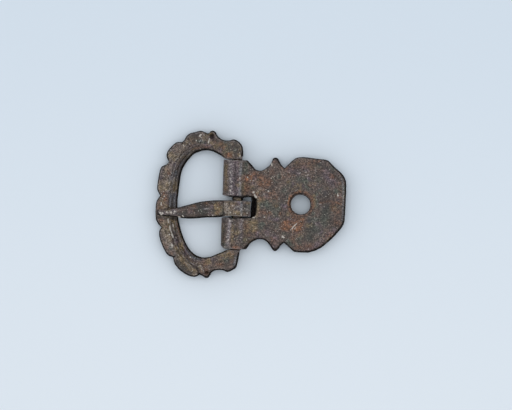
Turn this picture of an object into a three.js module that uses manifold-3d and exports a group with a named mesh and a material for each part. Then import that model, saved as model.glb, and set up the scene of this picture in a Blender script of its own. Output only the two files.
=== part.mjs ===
// Belt buckle of an old type, in three pieces: a lobed D-shaped frame with a narrowed bar, a sheet plate
// folded double round that bar, and a tongue whose eye turns on the bar between the plate's two knuckles.
// Millimetres, +Z up. The buckle lies face up on z = 0, with the bar parallel to Y, the frame towards -X and
// the plate towards +X. The pieces are drawn with x = 0 on the bar's axis, and the whole is then moved so
// that its origin is on the ground under the middle of the buckle.
import * as THREE from "three";
import { mergeVertices } from "three/addons/utils/BufferGeometryUtils.js";
import Module from "manifold-3d";

// Driving dimensions of the frame
const frameReach = 18.0; // bar axis to the front of the lobes
const frameHalfHeight = 16.3; // centre line to the tip of the lower nub
const bandHeight = 2.9; // top of the lobed flat band at the front
const ridgeHeight = 3.4; // top of the ridge inside the band
const crestHeight = 3.15; // top of the low crest between the ridge and the band
const beadHeight = 2.8; // top of the bead inside the ridge
const lugHeight = 4.0; // top of the two ends that carry the bar
const beadWidth = 0.6; // inner edge to the top of the bead
const beadGrooveWidth = 0.3; // top of the bead to the groove outside it
const beadGrooveDepth = 0.25;
const bevelWidth = 1.55; // inner edge to the ridge
const grooveWidth = 0.3; // ridge to the groove outside it
const grooveDepth = 0.5;
const crestWidth = 0.25; // groove to the crest outside it
const facetWidth = 0.6; // groove to the flat band
const innerEdgeHeight = 1.8; // foot of the inner bevel
const edgeRound = 0.3; // broken outer edge of the band
const bandLeast = 0.8; // width of flat band kept where the frame is narrow
const lugBack = 0.95; // bar axis to the back of the ends
const barDiameter = 2.3;
const barAxisHeight = 2.3;
const barRoot = 0.4; // how deep the bar is drawn into each end

// Driving dimensions of the plate
const plateReach = 23.9; // bar axis to the far end
const plateHalfWidth = 10.6; // half of the nominal width of the wide part
const tabHalfWidth = 9.8; // half of the width between the frame's ends
const sheetThickness = 0.9;
const strapGap = 1.7; // between the two leaves
const noseReach = 3.35; // bar axis to the front of the fold
const foldBack = 2.6; // where the fold meets the leaves, from the bar axis
const knuckleHeight = 4.6; // top of the fold over the bar
const frontSlotReach = 4.05; // bar axis to the end of the slot in the front leaf
const backSlotReach = 3.1; // bar axis to the end of the slot in the back leaf
const slotTop = 2.0; // centre line to the slot's upper edge at the nose
const slotBottom = 2.95; // centre line to the slot's lower edge
const backSlotBottom = 2.65; // the same at the end of the slot in the back leaf
const tabCorner = 0.7; // corner cut from the lower knuckle
const rivetHoleDiameter = 4.4;
const rivetHoleReach = 14.0; // bar axis to the rivet hole
const rivetHoleRise = 0.5; // rivet hole above the centre line

// Driving dimensions of the tongue
const tongueReach = 17.6; // bar axis to the tip
const tongueWidth = 3.6; // widest part of the shank
const tongueHeight = 4.9; // top of the eye block, which the heights along the shank follow
const eyeWidth = 3.4;
const eyeRise = 0.85; // centre line to the upper side of the eye
const eyeFront = 3.0; // bar axis to the step where the eye block starts
const eyeBack = 2.95; // bar axis to the end of the eye block
const eyeCrease = 0.95; // bar axis to the crease where the eye block starts to fall
const eyeLift = 0.1; // underside of the eye above the ground
const eyeEdge = 0.25; // broken edge of the step
const shankChamferShare = 0.3; // of the shank's width and thickness, cut from its long edges

// Clearances
const lugClearance = 0.25; // plate's tab to each end of the frame
const barClearance = 0.22; // round the bar inside the eye
const cutOverrun = 1.0;

// How finely round stretches are divided
const outlineStepShare = 0.02222; // of frameReach, from one point of a round outline to the next
const innerSamples = 160;
const roundSides = 40;
const shankStations = 24;

// The frame's outer edge, as shares of frameReach (towards -X) and frameHalfHeight (towards +Y). Each row is
// one lobe from notch to notch, from the upper end round the front to the lower end.
const lobeShares = [
  [
    [-0.045, 0.765], [-0.03, 0.805], [0.01, 0.85], [0.07, 0.88], [0.105, 0.868], [0.145, 0.86],
    [0.19, 0.865], [0.24, 0.89], [0.275, 0.925], [0.295, 0.965], [0.322, 0.987], [0.352, 0.985],
    [0.375, 0.955], [0.39, 0.948],
  ],
  [
    [0.39, 0.948], [0.425, 0.962], [0.465, 0.98], [0.505, 0.975], [0.55, 0.96], [0.6, 0.948],
    [0.635, 0.925], [0.66, 0.89], [0.675, 0.85], [0.705, 0.815],
  ],
  [
    [0.705, 0.815], [0.735, 0.82], [0.765, 0.818], [0.8, 0.795], [0.835, 0.75], [0.867, 0.705],
    [0.888, 0.655], [0.888, 0.61], [0.86, 0.55],
  ],
  [
    [0.86, 0.55], [0.878, 0.517], [0.91, 0.498], [0.94, 0.482], [0.957, 0.445], [0.973, 0.375],
    [0.982, 0.295], [0.988, 0.215], [0.984, 0.15], [0.948, 0.085],
  ],
  [
    [0.948, 0.085], [0.972, 0.052], [0.99, 0.01], [1, -0.05], [1, -0.11], [0.998, -0.18],
    [0.99, -0.245], [0.968, -0.29], [0.922, -0.345],
  ],
  [
    [0.922, -0.345], [0.942, -0.38], [0.947, -0.425], [0.93, -0.515], [0.888, -0.625], [0.845, -0.7],
    [0.812, -0.73], [0.765, -0.742],
  ],
  [
    [0.765, -0.742], [0.757, -0.79], [0.74, -0.84], [0.675, -0.918], [0.58, -0.98], [0.505, -1],
    [0.465, -0.992], [0.432, -0.968],
  ],
  [
    [0.432, -0.968], [0.4, -0.98], [0.37, -1], [0.345, -1.008], [0.322, -1], [0.298, -0.95],
    [0.27, -0.915], [0.235, -0.9], [0.185, -0.893], [0.14, -0.897], [0.093, -0.918], [0.05, -0.9],
    [0.01, -0.875], [-0.01, -0.855], [-0.025, -0.8], [-0.035, -0.735],
  ],
];

// The frame's inner edge in the same shares, without its two ends
const innerEdgeShares = [
  [0.245, 0.67], [0.32, 0.71], [0.395, 0.722], [0.48, 0.707], [0.555, 0.665], [0.625, 0.58],
  [0.68, 0.48], [0.708, 0.375], [0.722, 0.25], [0.735, 0.085], [0.737, -0.075], [0.72, -0.225],
  [0.68, -0.385], [0.62, -0.545], [0.545, -0.66], [0.463, -0.722], [0.385, -0.737], [0.31, -0.722],
  [0.215, -0.675],
];
const upperInnerEndShare = 0.165; // of frameReach, where the inner edge meets the upper end
const lowerInnerEndShare = 0.1;
const turnShare = 0.1; // of the inner edge, over which each arm turns into its end
const armShare = 0.24; // of the inner edge, over which each arm thins to the height of the front
const mouldingStartShare = 0.08; // of the inner edge, where groove and bevel begin
// How wide the moulding is along the inner edge, as shares of that edge and of the moulding's widths
const mouldingWidthShares = [
  [0, 1], [0.2, 0.98], [0.33, 1.08], [0.44, 0.88], [0.62, 1.25], [0.8, 1.28], [1, 1],
];

// The plate's outline beyond its tab, as shares of plateReach (towards +X) and plateHalfWidth (towards +Y),
// clockwise from the tab's upper corner. Each row is one smooth run, and the runs meet in corners.
const plateRunShares = [
  [
    [0.08, 0.924], [0.1, 0.885], [0.125, 0.825], [0.152, 0.755], [0.185, 0.722], [0.212, 0.722],
    [0.237, 0.748], [0.262, 0.79], [0.285, 0.835], [0.3, 0.885], [0.315, 0.985],
  ],
  [[0.315, 0.985], [0.33, 1.003], [0.347, 1.005], [0.361, 0.988]],
  [[0.361, 0.988], [0.39, 0.875], [0.422, 0.79]],
  [[0.422, 0.79], [0.45, 0.85], [0.5, 0.965], [0.525, 1.01]],
  [[0.525, 1.01], [0.56, 1.03], [0.6, 1.035], [0.685, 1.018], [0.795, 0.997], [0.83, 0.975]],
  [[0.83, 0.975], [0.9, 0.82], [0.945, 0.742], [0.975, 0.662], [0.995, 0.57], [1, 0.465]],
  [[1, 0.465], [1, 0.175], [0.995, -0.275]],
  [[0.995, -0.275], [0.98, -0.37], [0.91, -0.575], [0.82, -0.78]],
  [[0.82, -0.78], [0.775, -0.855], [0.73, -0.908], [0.675, -0.945]],
  [[0.675, -0.945], [0.605, -0.952], [0.54, -0.945]],
  [[0.54, -0.945], [0.5, -0.872], [0.443, -0.755]],
  [[0.443, -0.755], [0.41, -0.83], [0.395, -0.89], [0.375, -0.935]],
  [[0.375, -0.935], [0.36, -0.945], [0.345, -0.928]],
  [
    [0.345, -0.928], [0.305, -0.8], [0.278, -0.74], [0.25, -0.71], [0.21, -0.705], [0.18, -0.725],
    [0.15, -0.765], [0.125, -0.82], [0.108, -0.885], [0.095, -0.924],
  ],
];

// The fold in side view, outer and inner line from the back leaf over the nose to the front leaf, as shares
// of noseReach (towards -X) and knuckleHeight
const foldOuterShares = [
  [0.5, 0], [0.72, 0.04], [0.89, 0.18], [0.98, 0.36], [1, 0.52], [0.965, 0.7], [0.87, 0.86],
  [0.72, 0.965], [0.56, 1], [0.4, 0.985], [0.2, 0.955], [0, 0.975], [-0.17, 0.99], [-0.3, 0.945],
  [-0.45, 0.87], [-0.6, 0.805],
];
const foldInnerShares = [
  [0.45, 0.2], [0.6, 0.24], [0.69, 0.33], [0.73, 0.48], [0.7, 0.64], [0.62, 0.755], [0.5, 0.795],
  [0.35, 0.785], [0.15, 0.77], [0, 0.77], [-0.15, 0.785], [-0.26, 0.75], [-0.4, 0.68],
  [-0.57, 0.605],
];

// The slot's edges at the front leaf, as shares of frontSlotReach and of slotTop or slotBottom
const slotUpperShares = [[-0.83, 1.02], [-0.42, 0.82], [0.3, 0.76], [0.6, 0.87], [1, 0.85]];
const slotEndShares = [[1, 0.25], [1.02, -0.15], [1, -0.65], [0.94, -0.86], [0.78, -0.94]];

// The shank in plan, as shares of tongueReach (towards -X) and tongueWidth (towards +Y)
const shankUpperShares = [
  [1, -0.5], [0.97, -0.475], [0.9, -0.455], [0.84, -0.415], [0.755, -0.325], [0.655, -0.185],
  [0.59, -0.09], [0.47, 0.085], [0.345, 0.185], [0.17, 0.235], [0.1, 0.235],
];
const shankLowerShares = [
  [1, -0.79], [0.97, -0.835], [0.9, -0.85], [0.84, -0.865], [0.75, -0.905], [0.66, -0.965],
  [0.52, -0.935], [0.4, -0.865], [0.25, -0.82], [0.17, -0.77], [0.1, -0.7],
];
// The shank in side view, as shares of tongueReach and tongueHeight
const shankTopShares = [
  [1, 0.76], [0.97, 0.83], [0.9, 0.9], [0.8, 0.955], [0.65, 0.99], [0.45, 0.985], [0.28, 0.955],
  [0.17, 0.925], [0.1, 0.9],
];
const shankUndersideShares = [
  [1, 0.66], [0.97, 0.655], [0.9, 0.69], [0.84, 0.71], [0.75, 0.71], [0.6, 0.69], [0.4, 0.665],
  [0.25, 0.645], [0.17, 0.63], [0.1, 0.62],
];
// The underside of the eye in side view, from its back round to the shank, as shares of eyeBack and of the
// drop from the bar's axis to the underside
const eyeUndersideShares = [
  [1, 0.1], [0.93, 0.45], [0.75, 0.75], [0.42, 0.96], [0, 1], [-0.42, 0.96], [-0.72, 0.72],
  [-0.88, 0.3], [-0.93, -0.1],
];
const eyeBackHeightShare = 0.72; // of tongueHeight, the top of the eye block at its back

const backLeafTop = sheetThickness;
const frontLeafUnderside = sheetThickness + strapGap;
const frontLeafTop = frontLeafUnderside + sheetThickness;
const lugFace = tabHalfWidth + lugClearance;
const barRadius = barDiameter / 2;
const outlineStep = outlineStepShare * frameReach;

const wasm = await Module();
wasm.setup();

// A closed three.js geometry as a manifold-3d solid
function solidOf(geometry) {
  const bare = geometry.clone();
  bare.deleteAttribute("normal");
  bare.deleteAttribute("uv");
  const merged = mergeVertices(bare);
  return new wasm.Manifold(
    new wasm.Mesh({
      numProp: 3,
      vertProperties: merged.attributes.position.array,
      triVerts: new Uint32Array(merged.index.array),
    }),
  );
}

function geometryOf(solid) {
  const mesh = solid.getMesh();
  return new THREE.BufferGeometry()
    .setAttribute("position", new THREE.BufferAttribute(new Float32Array(mesh.vertProperties), 3))
    .setIndex(new THREE.BufferAttribute(new Uint32Array(mesh.triVerts), 1));
}

// Points of a share table, each axis scaled by its own size
const scaled = (shares, sizeX, sizeY) => shares.map(([a, b]) => new THREE.Vector2(a * sizeX, b * sizeY));

const curveThrough = (points) =>
  new THREE.CatmullRomCurve3(points.map((p) => new THREE.Vector3(p.x, p.y, 0)), false, "centripetal");

// A smooth curve through the points, sampled in even steps
function smooth(points) {
  if (points.length === 2) return points;
  const curve = curveThrough(points);
  const steps = Math.max(points.length - 1, Math.round(curve.getLength() / outlineStep));
  return curve.getSpacedPoints(steps).map((p) => new THREE.Vector2(p.x, p.y));
}

// The outline drawn through several runs of points, each one smooth, that meet end to end
function joined(runs) {
  const outline = [];
  for (const point of runs.flat()) {
    const last = outline[outline.length - 1];
    if (!last || last.distanceTo(point) > 0) outline.push(point);
  }
  return outline;
}

// A plan outline as a solid from one height to another
function slabOf(outline, bottom, top) {
  const geometry = new THREE.ExtrudeGeometry(new THREE.Shape(outline), {
    depth: top - bottom,
    bevelEnabled: false,
  });
  return solidOf(geometry.translate(0, 0, bottom));
}

// A side-view outline, given as points of x and z, as a solid from one y to another
function sideSolidOf(outline, fromY, toY) {
  const geometry = new THREE.ExtrudeGeometry(new THREE.Shape(outline), {
    depth: toY - fromY,
    bevelEnabled: false,
  });
  return solidOf(geometry.rotateX(Math.PI / 2).translate(0, toY, 0));
}

// A round bar parallel to Y about the bar's axis
function roundSolid(radius, fromY, toY) {
  const geometry = new THREE.CylinderGeometry(radius, radius, toY - fromY, roundSides);
  return solidOf(geometry.translate(0, (fromY + toY) / 2, barAxisHeight));
}

// A solid skinned over a row of rings with equally many points each, closed by a cap at both ends
function skinned(rings) {
  const count = rings[0].length;
  const positions = rings.flat().flatMap((p) => [p.x, p.y, p.z]);
  const index = [];
  for (let r = 0; r + 1 < rings.length; r++) {
    for (let i = 0; i < count; i++) {
      const a = r * count + i;
      const b = r * count + ((i + 1) % count);
      index.push(a, b, a + count, b, b + count, a + count);
    }
  }
  const lastRing = (rings.length - 1) * count;
  for (let i = 1; i + 1 < count; i++) {
    index.push(0, i + 1, i);
    index.push(lastRing, lastRing + i, lastRing + i + 1);
  }
  const geometry = new THREE.BufferGeometry()
    .setAttribute("position", new THREE.BufferAttribute(new Float32Array(positions), 3))
    .setIndex(index);
  return solidOf(geometry);
}

// Height of a line of points at a given distance along it, read between its neighbours
function heightAt(points, x) {
  for (let i = 0; i + 1 < points.length; i++) {
    const a = points[i];
    const b = points[i + 1];
    if ((a.x - x) * (b.x - x) <= 0 && a.x !== b.x) return a.y + ((b.y - a.y) * (x - a.x)) / (b.x - a.x);
  }
  throw new Error("the line does not reach that far");
}

// The loop of the frame: stations run from the upper end to the lower end, and at each one a section with the
// flat lobed band, the crest, the groove, the ridge and the bead stands across from the inner edge
function frameLoop() {
  const plan = (shares) => scaled(shares, -frameReach, frameHalfHeight);
  const innerPoints = [
    new THREE.Vector2(-upperInnerEndShare * frameReach, lugFace),
    ...plan(innerEdgeShares),
    new THREE.Vector2(-lowerInnerEndShare * frameReach, -lugFace),
  ];
  const inner = curveThrough(innerPoints);
  const innerSampled = inner.getSpacedPoints(innerSamples);

  const lobes = lobeShares.map(plan);
  lobes[0].unshift(new THREE.Vector2(lugBack, lugFace));
  lobes[lobes.length - 1].push(new THREE.Vector2(lugBack, -lugFace));

  // Where a notch faces the inner edge, as a share of that edge's length
  const facing = (point) => {
    const distances = innerSampled.map((p) => Math.hypot(p.x - point.x, p.y - point.y));
    return distances.indexOf(Math.min(...distances)) / innerSamples;
  };

  const stations = [];
  lobes.forEach((lobe, i) => {
    const from = i === 0 ? 0 : facing(lobe[0]);
    const to = i === lobes.length - 1 ? 1 : facing(lobe[lobe.length - 1]);
    const points = smooth(lobe);
    const travelled = [0];
    for (let k = 1; k < points.length; k++) {
      travelled.push(travelled[k - 1] + points[k].distanceTo(points[k - 1]));
    }
    const whole = travelled[travelled.length - 1];
    points.forEach((outer, k) => {
      if (i > 0 && k === 0) return;
      stations.push({ outer, share: from + ((to - from) * travelled[k]) / whole });
    });
  });

  const rings = stations.map(({ outer, share }) => {
    const { x, y } = inner.getPointAt(share);
    const edge = new THREE.Vector2(x, y);
    const tangent = inner.getTangentAt(share);
    const endDistance = Math.min(share, 1 - share);
    const turn = THREE.MathUtils.smoothstep(endDistance, 0, turnShare);
    const arm = THREE.MathUtils.smoothstep(endDistance, 0, armShare);
    const moulding = THREE.MathUtils.smoothstep(endDistance, mouldingStartShare, armShare);
    // Out from the inner edge, and turned flat onto the end face at each end
    const outward = new THREE.Vector2(1, 0).lerp(new THREE.Vector2(tangent.y, -tangent.x), turn).normalize();
    // The moulding takes its own width here, or what a narrow place leaves for it beside a strip of flat band
    const mouldingWidth = bevelWidth + grooveWidth + facetWidth;
    const room = (edge.distanceTo(outer) - bandLeast) / mouldingWidth;
    const wide = Math.min(heightAt(scaled(mouldingWidthShares, 1, 1), share), room);
    const offset = (distance) => edge.clone().addScaledVector(outward, distance * wide);
    const bandStart = offset(mouldingWidth);
    const bandWidth = bandStart.distanceTo(outer);
    const band = THREE.MathUtils.lerp(lugHeight, bandHeight, arm);
    const ridge = THREE.MathUtils.lerp(lugHeight, ridgeHeight, arm);
    const crest = THREE.MathUtils.lerp(ridge, crestHeight, moulding);
    const bead = THREE.MathUtils.lerp(ridge, beadHeight, moulding);
    const foot = THREE.MathUtils.lerp(lugHeight - edgeRound, innerEdgeHeight, moulding);
    const section = [
      [edge, 0],
      [edge, foot],
      [offset(beadWidth), bead],
      [offset(beadWidth + beadGrooveWidth), bead - beadGrooveDepth * moulding],
      [offset(bevelWidth), ridge],
      [offset(bevelWidth + grooveWidth), ridge - grooveDepth * moulding],
      [offset(bevelWidth + grooveWidth + crestWidth), crest],
      [bandStart, band],
      [bandStart.clone().lerp(outer, 1 - edgeRound / bandWidth), band],
      [outer, band - edgeRound],
      [outer, 0],
    ];
    return section.map(([place, z]) => new THREE.Vector3(place.x, place.y, z));
  });
  return skinned(rings);
}

// The frame is one forging: the loop and the narrowed bar between its ends
function frameSolid() {
  return frameLoop().add(roundSolid(barRadius, -lugFace - barRoot, lugFace + barRoot));
}

// The plan outline of the plate with its two knuckles, as if the slot were not cut
function plateOutline() {
  const tab = [
    new THREE.Vector2(-noseReach - cutOverrun, -tabHalfWidth + tabCorner),
    new THREE.Vector2(-noseReach, -tabHalfWidth + tabCorner),
    new THREE.Vector2(-noseReach + tabCorner, -tabHalfWidth),
  ];
  const runs = plateRunShares.map((run) => smooth(scaled(run, plateReach, plateHalfWidth)));
  runs[0].unshift(new THREE.Vector2(-noseReach - cutOverrun, tabHalfWidth));
  runs[0][1].y = tabHalfWidth;
  runs[runs.length - 1][runs[runs.length - 1].length - 1].y = -tabHalfWidth;
  return joined([...runs, tab.reverse()]).reverse();
}

// The folded sheet in side view: back leaf, fold over the bar, front leaf
function foldedSheet() {
  const line = (shares) => smooth(scaled(shares, -noseReach, knuckleHeight));
  const outer = line(foldOuterShares);
  const innerLine = line(foldInnerShares);
  const end = plateReach + cutOverrun;
  return [
    new THREE.Vector2(end, 0),
    ...outer,
    new THREE.Vector2(foldBack, frontLeafTop),
    new THREE.Vector2(end, frontLeafTop),
    new THREE.Vector2(end, frontLeafUnderside),
    new THREE.Vector2(foldBack, frontLeafUnderside),
    ...innerLine.reverse(),
    new THREE.Vector2(end, backLeafTop),
  ].reverse();
}

// The slot's outline, from beyond the nose to its end in the front leaf
function slotOutline() {
  const front = -noseReach - cutOverrun;
  return joined([
    [new THREE.Vector2(front, slotTop), ...scaled(slotUpperShares, frontSlotReach, slotTop)],
    scaled(slotEndShares, frontSlotReach, slotBottom),
    [new THREE.Vector2(0, -slotBottom), new THREE.Vector2(front, -slotBottom)],
  ]).reverse();
}

function plateSolid() {
  const middle = (backLeafTop + frontLeafUnderside) / 2;
  const above = knuckleHeight + cutOverrun;
  const sheet = sideSolidOf(foldedSheet(), -plateHalfWidth - cutOverrun, plateHalfWidth + cutOverrun);
  const slot = slotOutline();
  // The back leaf's slot stays as wide at the fold, where the shank swings through, and narrows to its end
  const backSlot = slot.map((p) => {
    const low = p.x > 0 ? Math.max(p.y, -backSlotBottom) : p.y;
    return new THREE.Vector2(Math.min(p.x, backSlotReach), low);
  });
  const holeRadius = rivetHoleDiameter / 2;
  const hole = new THREE.CylinderGeometry(holeRadius, holeRadius, above + cutOverrun, roundSides);
  hole.rotateX(Math.PI / 2).translate(rivetHoleReach, rivetHoleRise, above / 2);
  return sheet
    .intersect(slabOf(plateOutline(), -cutOverrun, above))
    .subtract(slabOf(backSlot, -cutOverrun, above))
    .subtract(slabOf(slot, middle, above))
    .subtract(solidOf(hole));
}

// The shank: eight-sided sections between its two edges in plan and its two lines in side view
function shankSolid() {
  const upper = smooth(scaled(shankUpperShares, -tongueReach, tongueWidth));
  const lower = smooth(scaled(shankLowerShares, -tongueReach, tongueWidth));
  const top = smooth(scaled(shankTopShares, -tongueReach, tongueHeight));
  const underside = smooth(scaled(shankUndersideShares, -tongueReach, tongueHeight));
  const rootX = upper[upper.length - 1].x;
  const rings = [];
  for (let i = 0; i <= shankStations; i++) {
    const x = THREE.MathUtils.lerp(-tongueReach, rootX, i / shankStations);
    const [y0, y1] = [heightAt(lower, x), heightAt(upper, x)];
    const [z0, z1] = [heightAt(underside, x), heightAt(top, x)];
    const dy = (y1 - y0) * shankChamferShare;
    const dz = (z1 - z0) * shankChamferShare;
    const section = [
      [y0 + dy, z0], [y1 - dy, z0], [y1, z0 + dz], [y1, z1 - dz],
      [y1 - dy, z1], [y0 + dy, z1], [y0, z1 - dz], [y0, z0 + dz],
    ];
    rings.push(section.map(([y, z]) => new THREE.Vector3(x, y, z)));
  }
  return skinned(rings);
}

// The eye block, bent round the bar, with the shank coming out of its front. The bore is cut last, so that
// the shank's root doesn't close it.
function tongueSolid() {
  const depth = barAxisHeight - eyeLift;
  const below = eyeUndersideShares.map(
    ([a, b]) => new THREE.Vector2(a * eyeBack, barAxisHeight - b * depth),
  );
  const outline = [
    new THREE.Vector2(-eyeFront, tongueHeight - eyeEdge),
    new THREE.Vector2(-eyeFront + eyeEdge, tongueHeight),
    new THREE.Vector2(eyeCrease, tongueHeight),
    new THREE.Vector2(eyeBack, tongueHeight * eyeBackHeightShare),
    ...smooth(below),
    new THREE.Vector2(-eyeFront, frontLeafTop),
  ];
  const lowerSide = eyeRise - eyeWidth;
  return sideSolidOf(outline.reverse(), lowerSide, eyeRise)
    .add(shankSolid())
    .subtract(roundSolid(barRadius + barClearance, lowerSide - cutOverrun, eyeRise + cutOverrun));
}

const frameMetal = new THREE.MeshStandardMaterial({ color: 0x5c554e, roughness: 0.62, metalness: 0.45 });
const plateMetal = new THREE.MeshStandardMaterial({ color: 0x5d524c, roughness: 0.66, metalness: 0.4 });
const tongueMetal = new THREE.MeshStandardMaterial({ color: 0x5a524e, roughness: 0.6, metalness: 0.45 });

function piece(name, solid, material) {
  const mesh = new THREE.Mesh(geometryOf(solid), material);
  mesh.name = name;
  return mesh;
}

const assembly = new THREE.Group();
assembly.add(piece("frame", frameSolid(), frameMetal));
assembly.add(piece("plate", plateSolid(), plateMetal));
assembly.add(piece("tongue", tongueSolid(), tongueMetal));

const extent = new THREE.Box3().setFromObject(assembly);
const middle = extent.getCenter(new THREE.Vector3());
assembly.position.set(-middle.x, -middle.y, -extent.min.z);

const buckle = new THREE.Group();
buckle.name = "buckle";
buckle.add(assembly);

export default buckle;
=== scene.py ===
"""Old iron strap buckle: frame, folded plate and tongue, finished as corroded forged iron."""

import math

import bpy
import numpy as np
from bpy.props import FloatProperty, FloatVectorProperty, PointerProperty
from mathutils import Matrix, Vector


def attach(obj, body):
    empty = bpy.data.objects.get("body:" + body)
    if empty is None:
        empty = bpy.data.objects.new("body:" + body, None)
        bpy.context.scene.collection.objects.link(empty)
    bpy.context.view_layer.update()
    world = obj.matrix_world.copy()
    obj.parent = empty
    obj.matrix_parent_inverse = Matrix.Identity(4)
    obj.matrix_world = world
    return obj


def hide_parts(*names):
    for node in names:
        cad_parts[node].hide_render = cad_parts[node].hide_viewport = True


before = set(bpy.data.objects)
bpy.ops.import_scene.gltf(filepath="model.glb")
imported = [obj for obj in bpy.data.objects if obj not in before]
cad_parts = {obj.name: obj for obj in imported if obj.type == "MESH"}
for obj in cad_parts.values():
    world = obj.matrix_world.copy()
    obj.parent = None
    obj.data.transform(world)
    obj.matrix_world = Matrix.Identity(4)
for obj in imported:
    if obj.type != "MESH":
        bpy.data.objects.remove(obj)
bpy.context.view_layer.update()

bl_info = {
    "name": "Strap Buckle",
    "version": (1, 0, 0),
    "blender": (4, 5, 0),
    "location": "View3D > Sidebar > Buckle",
    "description": "Finishes the frame, plate and tongue of an old iron strap buckle",
    "category": "Object",
}

MM = 0.001

# Middle of the plate's rivet hole, the same as in the solids
RIVET_HOLE = (11.054 * MM, 0.652 * MM)

# File cuts across the frame's band, in millimetres: the notch that each starts from, where it runs
# out, and its depth
FILE_CUTS = (
    ((-10.3, 16.2), (-9.85, 14.4), 0.22),
    ((-15.7, 13.5), (-13.9, 11.7), 0.35),
    ((-18.5, 9.15), (-16.5, 8.4), 0.35),
    ((-20.1, 1.5), (-18.0, 1.3), 0.4),
    ((-19.6, -5.5), (-17.7, -4.9), 0.4),
    ((-16.8, -12.0), (-15.1, -10.8), 0.35),
    ((-10.65, -15.8), (-11.75, -13.5), 0.36),
)

# How far a file has risen where its cut runs out, and its stretch beyond the cut's two ends
FILE_RISE = 0.4 * MM
FILE_OVERRUN = 1.3

# Punched hollows in the two nubs, in millimetres: place, radius and depth
NUB_HOLLOWS = ((-9.15, 15.05, 0.8, 0.22), (-9.2, -15.15, 0.75, 0.2))
NUB_HEIGHT = 0.35  # how far the nubs rise above the band

# Middles and size of the blocks filed off the bar's two shoulders, in millimetres
SHOULDERS = ((-1.7, 10.35, 2.0), (-1.55, -10.35, 2.0))
SHOULDER_BLOCK = (1, 1, 6)

# Burrs round the inner end of the plate's slot, in millimetres: place, radius and height
SLOT_BURRS = (
    (0.75, 2.75, 0.42, 0.16),
    (1.35, 1.85, 0.4, 0.15),
    (1.3, -2.55, 0.42, 0.15),
    (1.25, -0.1, 0.3, 0.08),
    (1.2, 0.9, 0.26, 0.06),
)

# The floor's side, how far it lies below the solids because crust stands out from them, and how
# many millimetres to each side of the middle its colour changes
FLOOR_SIZE = 6.0
FLOOR_DROP = 0.07 * MM
FLOOR_FADE = 60

# Middle of the view, and the height at which its width is measured
VIEW_MIDDLE = (1.18 * MM, 0.2 * MM)
VIEW_LEVEL = 3.0 * MM

# The inside between the leaves, which is painted in shade: its lowest and highest height, and
# where it starts along X, in millimetres
INSIDE_LOW, INSIDE_HIGH = 0.5, 2.9
INSIDE_FROM = -5.4

# The fold's rounded side reaches to here along X, in millimetres: its walls get no painted shade,
# unlike the cut walls. The frame and the tongue have no fold
FOLD_SIDE = -5.0
NO_FOLD = -math.inf

# Sizes of the finer wear on every piece, how far out a pit's edge lies as a share of the spacing,
# and the crust's depth as a share of the hammered unevenness
CRUST_SIZE = 0.8 * MM
GRIT_SIZE = 0.34 * MM
PIT_SPACING = 0.9 * MM
PIT_EDGE = 0.33
CRUST_SHARE = 0.6

# How far the surface is evened out to tell a grain, a ridge and a rim from what lies round it
GRAIN_REACH = 0.17 * MM
RIDGE_REACH = 0.46 * MM
RIM_REACH = 0.44 * MM

# How strongly relief counts, and the most that is stored of a grain and of a ridge
RELIEF_GAIN = 10
GRAIN_LIMIT = 2
RIDGE_LIMIT = 4

# A wall is steeper than this, as the height of its normal. The painted shade along a rim starts
# and is full at these shares of wall round a vertex, and fades again between these two, down to
# the last share
WALL_NORMAL = 0.45
RIM_START, RIM_FULL = 0.11, 0.21
WALL_MIDDLE, WALL_START = 1.15, 0.8
WALL_RIM = 0.1

# Rims facing this way, towards the lower right, get the broadest painted shade, by this share
DARK_SIDE = (0.25, -0.35)

# Painted shade on the walls, from this height of the normal down and up to this much, and on the
# inside
SHADED_NORMAL = 0.7
WALL_SHADE = 0.45
INSIDE_NORMAL = 0.5
INSIDE_SHADE = 0.9

# The photograph that the stains are placed over: the width that it takes in, in millimetres,
# its width in pixels, its turn, and where the middle of the bar lies, as a pixel and in millimetres
VIEW_WIDTH = 113.0
IMAGE_WIDTH = 512
PIXEL = VIEW_WIDTH / IMAGE_WIDTH
PHOTO_TURN = math.radians(2)
BAR_PIXEL = (237.3, 204.55)
BAR_MIDDLE = (-2.946, 0.152)
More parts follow.
